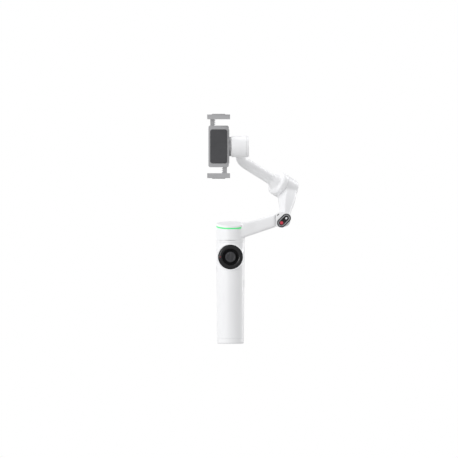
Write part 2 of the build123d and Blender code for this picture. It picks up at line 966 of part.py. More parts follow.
# five-sided sections across the arm: z, y, left x, right x, ridge x, depth
UPPER_ARM_SECTIONS = [
    (163.0, 15.3, 62.8, 77.0, 70.4, 6.2),
    (173.0, 24.5, 63.6, 78.8, 70.8, 7.0),
    (184.0, 36.0, 63.4, 82.9, 71.6, 8.6),
    (194.0, 49.0, 62.6, 86.2, 73.0, 10.0),
    (203.0, 61.0, 65.0, 86.4, 75.0, 8.0),
]


@piece
def upper_arm():
    with BuildPart() as part:
        # knuckle round the pin
        with BuildSketch(elbow_plane(KNUCKLE_REAR_Y)):
            with Locations((0.6, 0)):
                Circle(8.0)
        extrude(amount=KNUCKLE_REAR_Y - KNUCKLE_FRONT_Y)
        # the arm's ridge lies towards the user
        for z, y, left, right, ridge, depth in UPPER_ARM_SECTIONS:
            with BuildSketch(Plane(origin=(0, y, z), x_dir=(1, 0, 0), z_dir=ARM_NORMAL)):
                with BuildLine():
                    Polyline(
                        (left, depth), (left, -depth * 0.35), (ridge, -depth),
                        (right, -depth * 0.2), (right, depth), close=True,
                    )
                make_face()
        loft()
        # roll motor housing
        with BuildSketch(roll_plane(ROLL_MOUTH)):
            Circle(ROLL_R)
        extrude(amount=ROLL_REAR - ROLL_MOUTH)
        # nothing of the arm may stand in front of the housing's mouth
        with BuildSketch(roll_plane(ROLL_MOUTH)):
            Circle(24)
        extrude(amount=-16, mode=Mode.SUBTRACT)
        with BuildSketch(roll_plane(ROLL_MOUTH)):
            Circle(13.6)
        extrude(amount=15.9, mode=Mode.SUBTRACT)
        with BuildSketch(roll_plane(ROLL_MOUTH)):
            Circle(4.0)
        extrude(amount=17.1, mode=Mode.SUBTRACT)
        # bore for the pin and room for its head
        with BuildSketch(elbow_plane(24)):
            Circle(ELBOW_PIN_R + 2 * FIT)
        extrude(amount=18, mode=Mode.SUBTRACT)
        with BuildSketch(elbow_plane(22.3)):
            Circle(5.2)
        extrude(amount=-14, mode=Mode.SUBTRACT)
        # nothing of the arm may stand behind the housing's rear face
        with BuildSketch(roll_plane(ROLL_REAR)):
            Circle(40)
        extrude(amount=30, mode=Mode.SUBTRACT)
        # clear the elbow block in front of the knuckle
        with BuildSketch(elbow_plane(KNUCKLE_FRONT_Y)):
            Rectangle(60, 60)
        extrude(amount=20, mode=Mode.SUBTRACT)
    return part.part


@piece
def roll_motor_cap():
    with BuildPart() as part:
        with BuildSketch(roll_plane(ROLL_REAR + 0.05)):
            Circle(ROLL_R - 1.2)
        extrude(amount=1.2)
        fillet(part.edges().filter_by(GeomType.CIRCLE).sort_by(Axis.Y)[-1], 0.6)
    return part.part


@piece
def roll_stator():
    return stator(
        roll_plane(ROLL_STATOR), core_r=8.0, tooth_at=9.4, tooth=(3.2, 2.0), shoe_at=11.0,
        shoe=(1.0, 5.2), bore=ROLL_BEARING_R, height=7.9,
    )


@piece
def roll_bearings():
    planes = [roll_plane(ROLL_STATOR), roll_plane(126.0)]
    return bearings(planes, ROLL_BEARING_R - FIT, ROLL_SHAFT_R + FIT)


# ================================================================ roll arm, turns about the roll axis
@piece
def roll_arm():
    with BuildPart() as part:
        # cup that faces the roll motor
        with BuildSketch(roll_plane(103.6)):
            Circle(ROLL_R)
        extrude(amount=8.8)
        fillet(part.edges().filter_by(GeomType.CIRCLE).sort_by(Axis.Y)[0], 4.2)
        with BuildSketch(roll_plane(ROLL_FLOOR)):
            Circle(ROLL_RECESS_R)
        extrude(amount=9.0, mode=Mode.SUBTRACT)
        # oval arm that follows the roll axis and then bends to the tilt motor
        with BuildLine():
            Spline(
                on_roll(106), on_roll(80), on_roll(58), (14.6, 14.5, 240.0), (13.0, 4.0, 249.0),
                tangents=[ROLL_AXIS, (-0.05, -0.75, 0.66)],
            )
        with BuildSketch(Plane(origin=on_roll(106), x_dir=ROLL_SKETCH_X, z_dir=ROLL_AXIS)):
            Ellipse(7.3, 6.0)
        sweep()
        # the arm flares into the face of the roll motor
        with BuildSketch(roll_plane(91)):
            Circle(4.6)
        with BuildSketch(roll_plane(104.6)):
            Circle(11.4)
        loft()
        # tilt motor housing
        with BuildSketch(tilt_plane(TILT_LEFT)):
            Circle(TILT_R)
        extrude(amount=TILT_RIGHT - TILT_LEFT)
        with BuildSketch(tilt_plane(3.2)):
            Circle(12.0)
        extrude(amount=18.0, mode=Mode.SUBTRACT)
        with BuildSketch(tilt_plane(1.0)):
            Circle(5.4)
        extrude(amount=3.0, mode=Mode.SUBTRACT)
    return part.part


@piece
def roll_shaft():
    """Shaft with a flange on the floor of the roll arm's recess."""
    return disc_stack(
        (roll_plane(ROLL_FLOOR), ROLL_SHAFT_R, 0, 21.5),
        (roll_plane(ROLL_FLOOR), 6.0, 0, 1.2),
    )


@piece
def roll_rotor():
    return disc_stack((roll_plane(ROLL_FLOOR + FIT), ROLL_RECESS_R - FIT, 12.0, 17.0))


@piece
def tilt_motor_cap():
    """End cap with a spigot in the housing and a tube that carries the stator."""
    with BuildPart() as part:
        with BuildSketch(tilt_plane(TILT_RIGHT + 0.05)):
            Circle(TILT_R)
        extrude(amount=3.0)
        fillet(part.faces().sort_by(Axis.X)[-1].edges(), 1.8)
        with BuildSketch(tilt_plane(18.6)):
            Circle(11.9)
            Circle(9.8, mode=Mode.SUBTRACT)
        extrude(amount=2.5)
        with BuildSketch(tilt_plane(TILT_BEARING_X[0])):
            Circle(TILT_TUBE_R)
            Circle(TILT_TUBE_BORE_R, mode=Mode.SUBTRACT)
        extrude(amount=15.1)
    return part.part


@piece
def tilt_stator():
    return stator(
        tilt_plane(8.0), core_r=7.0, tooth_at=7.8, tooth=(2.4, 1.8), shoe_at=9.0,
        shoe=(0.9, 4.2), bore=TILT_TUBE_R + FIT, height=8.0,
    )


@piece
def tilt_bearings():
    planes = [tilt_plane(x) for x in TILT_BEARING_X]
    return bearings(planes, TILT_TUBE_BORE_R - FIT, TILT_SHAFT_R + FIT)


# ================================================================ clamp, tilts about X
@piece
def tilt_bracket():
    plate_y = -8.8
    rib_height = 12
    # rib seen from above: x, y
    rib = [(-1.0, -8.9), (-1.0, 3.0), (-9.0, -3.0), (-22.0, -8.9)]
    with BuildPart() as part:
        with BuildSketch(tilt_plane(-2.2)):
            Circle(12.6)
        extrude(amount=3.2)
        with BuildSketch(front_plane(plate_y, -14.4, CROSSING.Z)):
            Rectangle(25.6, 44)
        extrude(amount=2.95)
        # rib between plate and disc
        with BuildSketch(level(CROSSING.Z - rib_height / 2)):
            with BuildLine():
                Polyline(*rib, close=True)
            make_face()
        extrude(amount=rib_height)
        with BuildSketch(tilt_plane(-1.0)):
            Circle(TILT_SHAFT_R + FIT)
        extrude(amount=3.0, mode=Mode.SUBTRACT)
    return part.part


@piece
def tilt_shaft():
    return disc_stack(
        (tilt_plane(-0.95), TILT_SHAFT_R, 0, 19.0),
        (tilt_plane(1.05), 5.2, 0, 3.0),
    )


@piece
def tilt_rotor():
    """Bell: a back plate with a sleeve."""
    return disc_stack(
        (tilt_plane(TILT_ROTOR_X), TILT_ROTOR_R, TILT_SHAFT_R + FIT, TILT_ROTOR_BACK),
        (tilt_plane(TILT_ROTOR_X + TILT_ROTOR_BACK), TILT_ROTOR_R, 9.9, 12.0),
    )


@piece
def clamp_base():
    """Channel plate; the two jaw racks run in it beside the pinion."""
    with BuildPart() as part:
        with BuildSketch(clamp_plane(CLAMP_PLATE_Y)):
            RectangleRounded(26.4, 54, 2.5)
        extrude(amount=CLAMP_PLATE_DEPTH)
        # rack channels and the pinion's window
        with BuildSketch(clamp_plane(CLAMP_PLATE_Y)):
            with Locations((-7.6, 0), (7.6, 0)):
                Rectangle(6.6, 56)
            Rectangle(12, 12.4)
        extrude(amount=3.3, mode=Mode.SUBTRACT)
        # axle stub of the pinion
        with BuildSketch(clamp_plane(CLAMP_PLATE_Y)):
            Circle(1.5)
        extrude(amount=4.0)
    return part.part


@piece
def clamp_pad():
    with BuildPart() as part:
        with BuildSketch(clamp_plane(CLAMP_PLATE_Y - CLAMP_PLATE_DEPTH - 0.05)):
            RectangleRounded(22, 44, 3)
        extrude(amount=1.2)
        fillet(part.faces().sort_by(Axis.Y)[0].edges(), 0.5)
    return part.part


def involute_angle(radius):
    """Polar angle gained from the base circle to this radius."""
    if radius <= BASE_R:
        return 0.0
    roll = math.sqrt((radius / BASE_R) ** 2 - 1)
    return roll - math.atan(roll)


def pinion_points():
    """Outline of the pinion about its centre, one tooth on the +x side."""
    half_tooth = math.pi / (2 * TEETH) - BACKLASH / PITCH_R + involute_angle(PITCH_R)
    radii = [ROOT_R] + [BASE_R + (TIP_R - BASE_R) * i / 6 for i in range(7)]
    points = []
    for k in range(TEETH):
        middle = 2 * math.pi * k / TEETH
        for flank, flank_radii in ((-1, radii), (1, radii[::-1])):
            for radius in flank_radii:
                angle = middle + flank * (half_tooth - involute_angle(radius))
                points.append((radius * math.cos(angle), radius * math.sin(angle)))
    return points


def rack_points(side, bottom, top):
    """Outline of a rack about the pinion's centre; side is -1 for left, +1 for right."""
    edge = side * RACK_EDGE
    root = side * (PITCH_R + DEDENDUM)
    tip = side * (PITCH_R - RACK_ADDENDUM)
    half_pitch_width = RACK_PITCH / 4 - BACKLASH
    half_root = half_pitch_width + DEDENDUM * math.tan(PRESSURE_ANGLE)
    half_tip = half_pitch_width - RACK_ADDENDUM * math.tan(PRESSURE_ANGLE)
    margin = 0.9  # tooth centres stay this far from the rack's ends
    points = [(edge, bottom), (root, bottom)]
    k = math.ceil((bottom + margin) / RACK_PITCH - 0.5)
    while (k + 0.5) * RACK_PITCH < top - margin:
        middle = (k + 0.5) * RACK_PITCH
        points += [
            (root, middle - half_root), (tip, middle - half_tip),
            (tip, middle + half_tip), (root, middle + half_root),
        ]
        k += 1
    return points + [(root, top), (edge, top)]


@piece
def clamp_pinion():
    with BuildPart() as part:
        with BuildSketch(clamp_plane(RACK_Y)):
            with BuildLine():
                Polyline(*pinion_points(), close=True)
            make_face()
            Circle(1.53, mode=Mode.SUBTRACT)
        extrude(amount=RACK_DEPTH)
    return part.part


def jaw(up, outline):
    """Jaw on its rack; up is +1 for the upper jaw and -1 for the lower."""
    # rear y, distance of the centre beyond the grip, width, height, depth along -Y
    blocks = [
        (-9.4, 2.6, JAW_WIDTH, 3.2, 18.4),  # shelf
        (-26.4, 1.1, JAW_WIDTH, 6.2, 1.8),  # front lip
        (-11.0, 4.6, 17.0, 1.0, 15.2),  # raised strip on the outside
    ]
    with BuildPart() as part:
        with BuildSketch(clamp_plane(RACK_Y)):
            with BuildLine():
                Polyline(*outline, close=True)
            make_face()
        extrude(amount=RACK_DEPTH)
        for y, beyond, width, height, depth in blocks:
            with BuildSketch(clamp_plane(y)):
                with Locations((0, up * (HALF_GRIP + beyond))):
                    Rectangle(width, height)
            extrude(amount=depth)
        # round the outer edges that run along Y
        fillet(
            part.edges()
            .filter_by(Axis.Y)
            .filter_by(lambda e: up * (e.center().Z - CROSSING.Z) > HALF_GRIP + 3.0),
            0.4,
        )
    return part.part


def jaw_pad(up):
    with BuildPart() as part:
        with BuildSketch(clamp_plane(-18.6)):
            with Locations((0, up * (HALF_GRIP + 0.48))):
                Rectangle(26, 0.98)
        extrude(amount=7.6)
    return part.part


@piece
def upper_jaw():
    return jaw(1, rack_points(-1, -RACK_TAIL, HALF_GRIP + 1.0))


@piece
def lower_jaw():
    return jaw(-1, rack_points(1, -HALF_GRIP - 1.0, RACK_TAIL))


@piece
def upper_jaw_pad():
    return jaw_pad(1)


@piece
def lower_jaw_pad():
    return jaw_pad(-1)


# ================================================================ export
for build in PIECES:
    solid = build()
    solid.label = build.__name__
    export_step(solid, f"parts/{build.__name__}.step")
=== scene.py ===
# A handheld gimbal: an upright handle along +Z carrying a pan head, a roll arm and a tilt clamp.
# The front with the controls faces -Y, right is +X, and the floor lies just below z = 0.
import json
import math

import bmesh
import bpy
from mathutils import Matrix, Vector

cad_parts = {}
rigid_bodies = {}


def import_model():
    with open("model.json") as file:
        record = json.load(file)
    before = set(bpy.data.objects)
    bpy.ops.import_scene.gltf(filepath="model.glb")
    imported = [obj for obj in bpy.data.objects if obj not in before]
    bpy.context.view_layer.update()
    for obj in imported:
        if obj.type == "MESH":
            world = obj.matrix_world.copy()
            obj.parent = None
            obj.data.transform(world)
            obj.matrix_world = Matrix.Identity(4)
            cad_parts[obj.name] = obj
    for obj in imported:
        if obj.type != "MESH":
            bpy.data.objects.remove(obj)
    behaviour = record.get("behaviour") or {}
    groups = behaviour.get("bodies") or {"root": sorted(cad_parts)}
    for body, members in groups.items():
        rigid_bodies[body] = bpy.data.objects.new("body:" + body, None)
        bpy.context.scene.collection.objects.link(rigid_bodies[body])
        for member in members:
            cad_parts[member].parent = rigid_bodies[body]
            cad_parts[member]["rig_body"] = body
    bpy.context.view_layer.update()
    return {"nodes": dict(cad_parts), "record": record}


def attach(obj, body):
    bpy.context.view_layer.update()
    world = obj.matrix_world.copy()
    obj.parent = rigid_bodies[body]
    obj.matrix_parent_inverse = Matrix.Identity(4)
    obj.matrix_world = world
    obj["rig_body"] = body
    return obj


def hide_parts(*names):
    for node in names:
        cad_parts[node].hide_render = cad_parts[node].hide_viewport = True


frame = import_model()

scene = bpy.context.scene
nodes = frame["nodes"]
slot_of = {part["node"]: part["material_slot"] for part in frame["record"]["subparts"]}
MM = 0.001


# ------------------------------------------------------------------ shared helpers
def empty_tree(owner):
    owner.use_nodes = True
    owner.node_tree.nodes.clear()
    return owner.node_tree


def set_inputs(tree, node, inputs):
    """Links each input given as a socket and sets each one given as a value."""
    for key, value in inputs.items():
        if isinstance(value, bpy.types.NodeSocket):
            tree.links.new(value, node.inputs[key])
        else:
            node.inputs[key].default_value = value


def add_node(tree, kind, inputs=None, **settings):
    node = tree.nodes.new("ShaderNode" + kind)
    for key, value in settings.items():
        setattr(node, key, value)
    set_inputs(tree, node, inputs or {})
    return node


def add_modifier(obj, name, kind, **settings):
    modifier = obj.modifiers.new(name, kind)
    for key, value in settings.items():
        setattr(modifier, key, value)


def add_object(name, data):
    obj = bpy.data.objects.new(name, data)
    scene.collection.objects.link(obj)
    return obj


def shade_smooth(mesh):
    mesh.polygons.foreach_set("use_smooth", [True] * len(mesh.polygons))


# ------------------------------------------------------------------ materials
COLOUR_BAND = (0.32, 0.68)   # noise range spread over the two base tones
ROUGH_BAND = (0.3, 0.7)      # noise range spread over the roughness
EDGE_BAND = (0.505, 0.56)    # pointiness range over which edge wear comes in
LIGHT_TONE = 0.6             # share of the colour variation that goes to the lighter tone
ROUGH_SCALE = 5              # roughness noise is this many times finer than the colour noise


def material(name, base, rough, metal=0.0, vary=0.03, rough_vary=0.06, grain=700.0, bump=0.12,
             depth=0.00004, cloud=28.0, coat=0.0, coat_rough=0.1, wear=0.0, wear_col=None,
             aniso=0.0, stretch=(1, 1, 1), emit=None, emit_strength=0.0, spec=0.5, sss=0.0):
    """A Principled material with colour, roughness and relief from noise in object space.
    cloud and grain are noise scales for colour and relief; depth is the relief in metres."""
    mat = bpy.data.materials.new(name)
    tree = empty_tree(mat)
    output = add_node(tree, "OutputMaterial")
    shader = add_node(tree, "BsdfPrincipled")
    tree.links.new(shader.outputs[0], output.inputs[0])
    coords = add_node(tree, "TexCoord")
    mapping = add_node(tree, "Mapping", {"Vector": coords.outputs["Object"], "Scale": stretch})

    def noise(scale, detail, roughness):
        return add_node(tree, "TexNoise", {
            "Vector": mapping.outputs["Vector"], "Scale": scale,
            "Detail": detail, "Roughness": roughness}).outputs["Fac"]

    def map_range(value, source, target):
        return add_node(tree, "MapRange", {
            "Value": value, "From Min": source[0], "From Max": source[1],
            "To Min": target[0], "To Max": target[1]}).outputs["Result"]

    def mix(factor, first, second):
        # sockets 0, 6 and 7 are the factor and the two colours
        return add_node(tree, "Mix", {0: factor, 6: first, 7: second}, data_type="RGBA").outputs[2]

    dark = (*(c * (1 - vary) for c in base), 1.0)
    light = (*(c * (1 + vary * LIGHT_TONE) for c in base), 1.0)
    clouds = noise(cloud, detail=4.0, roughness=0.55)
    colour = mix(map_range(clouds, COLOUR_BAND, (0, 1)), dark, light)
    if wear:
        pointiness = add_node(tree, "NewGeometry").outputs["Pointiness"]
        colour = mix(map_range(pointiness, EDGE_BAND, (0.0, wear)), colour, (*wear_col, 1.0))
    smudges = noise(cloud * ROUGH_SCALE, detail=5.0, roughness=0.6)
    roughness = map_range(smudges, ROUGH_BAND, (rough - rough_vary, rough + rough_vary))
    relief = add_node(tree, "Bump", {"Strength": bump, "Distance": depth,
                                     "Height": noise(grain, detail=3.0, roughness=0.6)})
    set_inputs(tree, shader, {
        "Base Color": colour, "Roughness": roughness, "Normal": relief.outputs["Normal"],
        "Metallic": metal, "Specular IOR Level": spec, "Coat Weight": coat,
        "Coat Roughness": coat_rough, "Anisotropic": aniso})
    if sss:
        set_inputs(tree, shader, {"Subsurface Weight": sss,
                                  "Subsurface Radius": (0.004, 0.004, 0.004)})
    if emit:
        set_inputs(tree, shader, {"Emission Color": (*emit, 1.0),
                                  "Emission Strength": emit_strength})
    mat.diffuse_color = (*base, 1.0)
    return mat


SATIN = dict(vary=0.012, rough_vary=0.05, grain=1600, bump=0.10, depth=0.00003, cloud=22,
             coat_rough=0.28)

MATS = {
    "white_shell": material(
        "white_satin", base=(0.875, 0.878, 0.886), rough=0.36, coat=0.12, **SATIN),
    # the same white plastic as white_shell, made darker for the arm: painted shade
    "white_painted_shade": material(
        "white_satin_painted_shade", base=(0.815, 0.819, 0.828), rough=0.38, coat=0.10, **SATIN),
    "black_gloss": material(
        "black_gloss_ring", base=(0.004, 0.004, 0.005), rough=0.28, vary=0.20, rough_vary=0.03,
        grain=900, bump=0.05, spec=0.42, wear=0.12, wear_col=(0.06, 0.06, 0.065)),
    "ring_matt": material(
        "ring_matt", base=(0.004, 0.004, 0.0045), rough=0.62, vary=0.2, grain=1800, bump=0.25,
        depth=0.00005, spec=0.12, wear=0.3, wear_col=(0.05, 0.05, 0.055)),
    "stick_rubber": material(
        "stick_rubber", base=(0.022, 0.022, 0.025), rough=0.55, vary=0.10, rough_vary=0.08,
        grain=2600, bump=0.45, depth=0.00008, wear=0.4, wear_col=(0.12, 0.12, 0.13)),
    "clamp_grey": material(
        "clamp_satin_grey", base=(0.300, 0.300, 0.307), rough=0.38, metal=0.40, vary=0.05,
        grain=1900, bump=0.16, wear=0.5, wear_col=(0.60, 0.60, 0.61)),
    "pad_rubber": material(
        "pad_rubber", base=(0.060, 0.060, 0.064), rough=0.72, vary=0.12, grain=2200, bump=0.5,
        depth=0.0001),
    "steel": material(
        "brushed_steel", base=(0.56, 0.56, 0.58), rough=0.28, metal=1.0, vary=0.06, grain=1500,
        bump=0.2, stretch=(1, 1, 9), aniso=0.4, wear=0.4, wear_col=(0.8, 0.8, 0.82)),
    "windings": material(
        "copper_windings", base=(0.62, 0.27, 0.11), rough=0.30, metal=0.9, vary=0.15,
        grain=1400, bump=0.5, depth=0.0002, stretch=(1, 1, 6)),
    "magnet_steel": material(
        "plated_iron", base=(0.30, 0.30, 0.32), rough=0.38, metal=0.9, vary=0.08, grain=900,
        bump=0.2),
    "circuit_board": material(
        "solder_mask", base=(0.018, 0.10, 0.05), rough=0.38, vary=0.18, grain=500, bump=0.25,
        coat=0.2),
    "frame_plastic": material(
        "frame_plastic", base=(0.006, 0.006, 0.0065), rough=0.58, vary=0.15, grain=1300,
        bump=0.3, spec=0.15),
    "cell_wrap": material(
        "cell_wrap", base=(0.03, 0.10, 0.24), rough=0.30, vary=0.08, coat=0.2),
    "flex_film": material(
        "flex_film", base=(0.46, 0.20, 0.03), rough=0.34, vary=0.14, bump=0.15),
    "rod_metal": material(
        "rod_anodised", base=(0.40, 0.41, 0.43), rough=0.30, metal=0.95, vary=0.04, grain=1500,
        bump=0.14, stretch=(8, 8, 1), aniso=0.4),
    "green_light": material(
        "green_light", base=(0.09, 0.66, 0.22), rough=0.34, vary=0.06, grain=900, bump=0.05,
        emit=(0.04, 0.62, 0.16), emit_strength=0.42, sss=0.2),
    # red of the record key and the pad dot; its faint glow is painted glow, neither part is a lamp
    "red_key": material(
        "red_key", base=(0.55, 0.030, 0.060), rough=0.30, vary=0.08, grain=1200, bump=0.10,
        coat=0.3, emit=(0.5, 0.02, 0.05), emit_strength=0.12),
    # light grey mark; its faint white glow is painted glow, the mark is no lamp
    "mark_light": material(
        "mark_light", base=(0.70, 0.71, 0.73), rough=0.35, vary=0.04, grain=1200, bump=0.08,
        emit=(1, 1, 1), emit_strength=0.08),
    "trim_grey": material(
        "trim_grey", base=(0.46, 0.465, 0.48), rough=0.30, metal=0.1, vary=0.05, grain=1200,
        bump=0.08, coat=0.2),
}
# the upper arm and its motor cap take the darker white, which is painted shade
PAINTED_SHADE_ARM_NODES = ("upper_arm", "roll_motor_cap")   # these take the slightly darker white


def look(node):
    return MATS["white_painted_shade" if node in PAINTED_SHADE_ARM_NODES else slot_of[node]]


for name, obj in nodes.items():
    obj.data.materials.clear()
    obj.data.materials.append(look(name))


# ------------------------------------------------------------------ rounded edges
# Bevel width of each CAD node, in mm
EDGE = {
    "handle_front_shell": 0.16, "handle_rear_shell": 0.16, "base_cap": 0.28,
    "extension_collar": 0.14, "head_cap": 0.28, "light_ring": 0.22, "control_pad": 0.4,
    "zoom_ring": 0.2, "joystick_cap": 0.25, "elbow_panel": 0.10, "elbow_trim": 0.12,
    "record_button": 0.15, "mode_light": 0.12, "power_button": 0.18, "trigger": 0.45,
    "upper_jaw": 0.6, "lower_jaw": 0.6, "clamp_base": 0.4, "clamp_pad": 0.25,
    "tilt_bracket": 0.5, "tilt_motor_cap": 0.3, "roll_motor_cap": 0.3, "arm_rear_cover": 0.3,
    "elbow_pin": 0.25, "elbow_washer": 0.12, "upper_jaw_pad": 0.2, "lower_jaw_pad": 0.2,
    "tripod_insert": 0.15, "base_screws": 0.12, "usb_port": 0.1, "clamp_pinion": 0.06,
    "tilt_rotor": 0.15, "joystick_housing": 0.2, "tilt_shaft": 0.15,
}
BEVEL_ANGLE = 32   # degrees, edges sharper than this are rounded
SHARP_ANGLE = 35   # degrees, edges sharper than this stay sharp on nodes without a bevel


def finish_edges(obj, width):
    """Rounds a CAD node's hard edges with modifiers only."""
    add_modifier(obj, "weld", "WELD", merge_threshold=1e-6)
    add_modifier(obj, "edge", "BEVEL", width=width, segments=3, limit_method="ANGLE",
                 angle_limit=math.radians(BEVEL_ANGLE), use_clamp_overlap=True,
                 harden_normals=False, miter_outer="MITER_ARC")
    shade_smooth(obj.data)
    add_modifier(obj, "normals", "WEIGHTED_NORMAL", keep_sharp=False, weight=80)


# ------------------------------------------------------------------ what stays crisp
# Each keep function is 1 where a turned shape must stay crisp and 0 where it may melt.
# Bands are (start, end) in mm, unless noted.
AXIS_POINT = Vector((-15.4, -4.0, 256.0)) * MM            # where distances along the axis start
ROLL_AXIS = Vector((-0.716, -0.544, 0.438)).normalized()  # points left, forward and up
DOWN_ARM = Vector((0.10, -0.55, -0.83)).normalized()      # from the axis down and forward

# Upper arm
PIN_X, PIN_Z = 69.4, 159.9      # centre of the elbow pin
PIN_TOP = 173.0                 # below this height only the distance from the pin counts
PIN_KEEP = 0.92
PIN_BAND = (8.3, 11.5)
HOUSING_BAND = (16.05, 16.9)    # radius where the housing meets the arm
RIM_RADIUS = 14.6               # outside this the end towards the arm may melt
ARM_END_BAND = (113.6, 115.0)   # along the axis
ARM_SIDE_BAND = (0.05, 0.25)    # cosine of the angle from DOWN_ARM
CORE_RADIUS, CORE_END = 8.5, 106
CORE_BAND = (7.2, 9.0)

# Rotor cup on the right end of the roll arm, tilt housing on its left
CUP_RIM_BAND = (108.5, 110.5)   # along the axis
CUP_BORE_BAND = (13.6, 14.4)    # radius
CUP_FLOOR_BAND = (105.6, 106.6) # along the axis
CUP_X = 40
TILT_BAND = (13.8, 14.8)

# Pan head
HEAD_BACK_MELT, HEAD_FRONT_MELT = 0.10, 0.90   # melt at the back, and what the front adds
HEAD_FRONT_BAND = (-5.0, -1.0)  # y
SHOULDER_X = 9.0                # the head is narrower right of this, above SHOULDER_Z_BAND
SHOULDER_Z_BAND = (137.0, 138.5)
SHOULDER_BAND = (17.3, 18.3)    # radius
HEAD_BAND = (18.7, 20.0)        # radius


def rise(x, start, end):
    return min(1.0, max(0.0, (x - start) / (end - start)))


def fall(x, start, end):
    return 1.0 - rise(x, start, end)


def roll_polar(v):
    """Distance against ROLL_AXIS, distance from it and the unit direction away from it."""
    offset = v - AXIS_POINT
    along = -offset.dot(ROLL_AXIS) / MM
    away = offset + ROLL_AXIS * along * MM
    radius = away.length / MM
    return along, radius, away.normalized() if radius > 0.01 else Vector((0, 0, 0))


def keep_roll(v):
    """Keeps the upper arm's motor housing; the arm that grows out of it melts."""
    if v.z / MM < PIN_TOP:
        return PIN_KEEP * fall(math.hypot(v.x / MM - PIN_X, v.z / MM - PIN_Z), *PIN_BAND)
    along, radius, direction = roll_polar(v)
    if radius <= CORE_RADIUS and along <= CORE_END:
        return rise(radius, *CORE_BAND)
    outer = fall(radius, *HOUSING_BAND)
    if radius > RIM_RADIUS:
        side = rise(direction.dot(DOWN_ARM), *ARM_SIDE_BAND)
        outer *= 1.0 - rise(along, *ARM_END_BAND) * side
    return outer


def keep_cup(v):
    """Keeps the inside and open rim of the rotor cup; its face, flare and arm melt."""
    along, radius, _ = roll_polar(v)
    inner = fall(radius, *CUP_BORE_BAND) * rise(along, *CUP_FLOOR_BAND)
    return max(rise(along, *CUP_RIM_BAND), inner)


def keep_head(v):
    """Keeps the round pan head; its arm melts, mostly at the front."""
    radius = math.hypot(v.x, v.y) / MM
    height = v.z / MM
    melt = HEAD_BACK_MELT + HEAD_FRONT_MELT * fall(v.y / MM, *HEAD_FRONT_BAND)
    if v.x / MM > SHOULDER_X and height > SHOULDER_Z_BAND[0]:
        return 1.0 - melt * rise(radius, *SHOULDER_BAND) * rise(height, *SHOULDER_Z_BAND)
    return 1.0 - melt * rise(radius, *HEAD_BAND)


def keep_tilt(v):
    """Keeps the rotor cup on the right and the round tilt housing on the left."""
    if v.x / MM > CUP_X:
        return keep_cup(v)
    return fall(math.hypot(v.y - AXIS_POINT.y, v.z - AXIS_POINT.z) / MM, *TILT_BAND)


def keep_nothing(v):
    return 0.0


# ------------------------------------------------------------------ soft moulded shells
# Voxel size in metres, rounds of melting and what stays crisp
SOFT = {
    "upper_arm": dict(voxel=0.00040, rounds=110, keep=keep_roll),
    "roll_arm": dict(voxel=0.00040, rounds=60, keep=keep_tilt),
    "pan_head_arm": dict(voxel=0.00038, rounds=320, keep=keep_head),
    "elbow_block": dict(voxel=0.00028, rounds=8, keep=keep_nothing),
}
WEIGHT_STEPS = 20   # melt weights are rounded to this many steps


def apply_modifiers(obj):
    """Returns the object's evaluated mesh and clears its modifiers."""
    depsgraph = bpy.context.evaluated_depsgraph_get()
    mesh = bpy.data.meshes.new_from_object(obj.evaluated_get(depsgraph), depsgraph=depsgraph)
    obj.modifiers.clear()
    return mesh


def add_melt_group(obj, keep):
    group = obj.vertex_groups.new(name="melt")
    bins = [[] for _ in range(WEIGHT_STEPS + 1)]
    for v in obj.data.vertices:
        bins[round((1.0 - keep(v.co)) * WEIGHT_STEPS)].append(v.index)
    for i, indices in enumerate(bins):
        if i and indices:
            group.add(indices, i / WEIGHT_STEPS, "REPLACE")


def soft_copy(node, voxel, rounds, keep, light):
    """A closed, evenly meshed copy of a CAD node, its corners melted into soft radii.
    light is the number of smoothing rounds over the whole shell."""
    source = nodes[node]
    obj = add_object(node + "_moulded", source.data.copy())
    bm = bmesh.new()
    bm.from_mesh(obj.data)
    bmesh.ops.remove_doubles(bm, verts=bm.verts, dist=1e-6)
    bm.to_mesh(obj.data)
    bm.free()
    add_modifier(obj, "remesh", "REMESH", mode="VOXEL", voxel_size=voxel, adaptivity=0.0,
                 use_smooth_shade=True)
    obj.data = apply_modifiers(obj)
    add_melt_group(obj, keep)
    add_modifier(obj, "light", "SMOOTH", factor=0.5, iterations=light)
    add_modifier(obj, "melt", "SMOOTH", factor=0.5, iterations=rounds, vertex_group="melt")
    mesh = apply_modifiers(obj)
    obj.vertex_groups.clear()
    obj.data = mesh
    mesh.materials.clear()
    mesh.materials.append(look(node))
    shade_smooth(mesh)
    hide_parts(node)
    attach(obj, source["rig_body"])


for name, width in EDGE.items():
    finish_edges(nodes[name], width * MM)
for name, obj in nodes.items():
    if name not in EDGE and name not in SOFT:
        shade_smooth(obj.data)
        obj.data.set_sharp_from_angle(angle=math.radians(SHARP_ANGLE))
for name, soft in SOFT.items():
    soft_copy(name, voxel=soft["voxel"],
              rounds=soft["rounds"],
              keep=soft["keep"], light=2)


# ------------------------------------------------------------------ small marks
def plate(name, outline, y, thick, body, slot):
    """A thin closed plate from an (x, z) outline in mm, its front at y."""
    bm = bmesh.new()
    front = [bm.verts.new((x * MM, y * MM, z * MM)) for x, z in outline]
    back = [bm.verts.new((x * MM, (y + thick) * MM, z * MM)) for x, z in outline]
    count = len(outline)
    bm.faces.new(front)
    bm.faces.new(list(reversed(back)))
    for i in range(count):
        j = (i + 1) % count
        bm.faces.new((front[i], front[j], back[j], back[i]))
    bmesh.ops.recalc_face_normals(bm, faces=bm.faces)
    mesh = bpy.data.meshes.new(name)
    bm.to_mesh(mesh)
    bm.free()
    obj = add_object(name, mesh)
    mesh.materials.append(MATS[slot])
    add_modifier(obj, "edge", "BEVEL", width=thick * 0.3 * MM, segments=2, limit_method="ANGLE")
    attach(obj, body)


def disc(x, z, radius, count=32):
    angles = [2 * math.pi * i / count for i in range(count)]
    return [(x + radius * math.cos(a), z + radius * math.sin(a)) for a in angles]


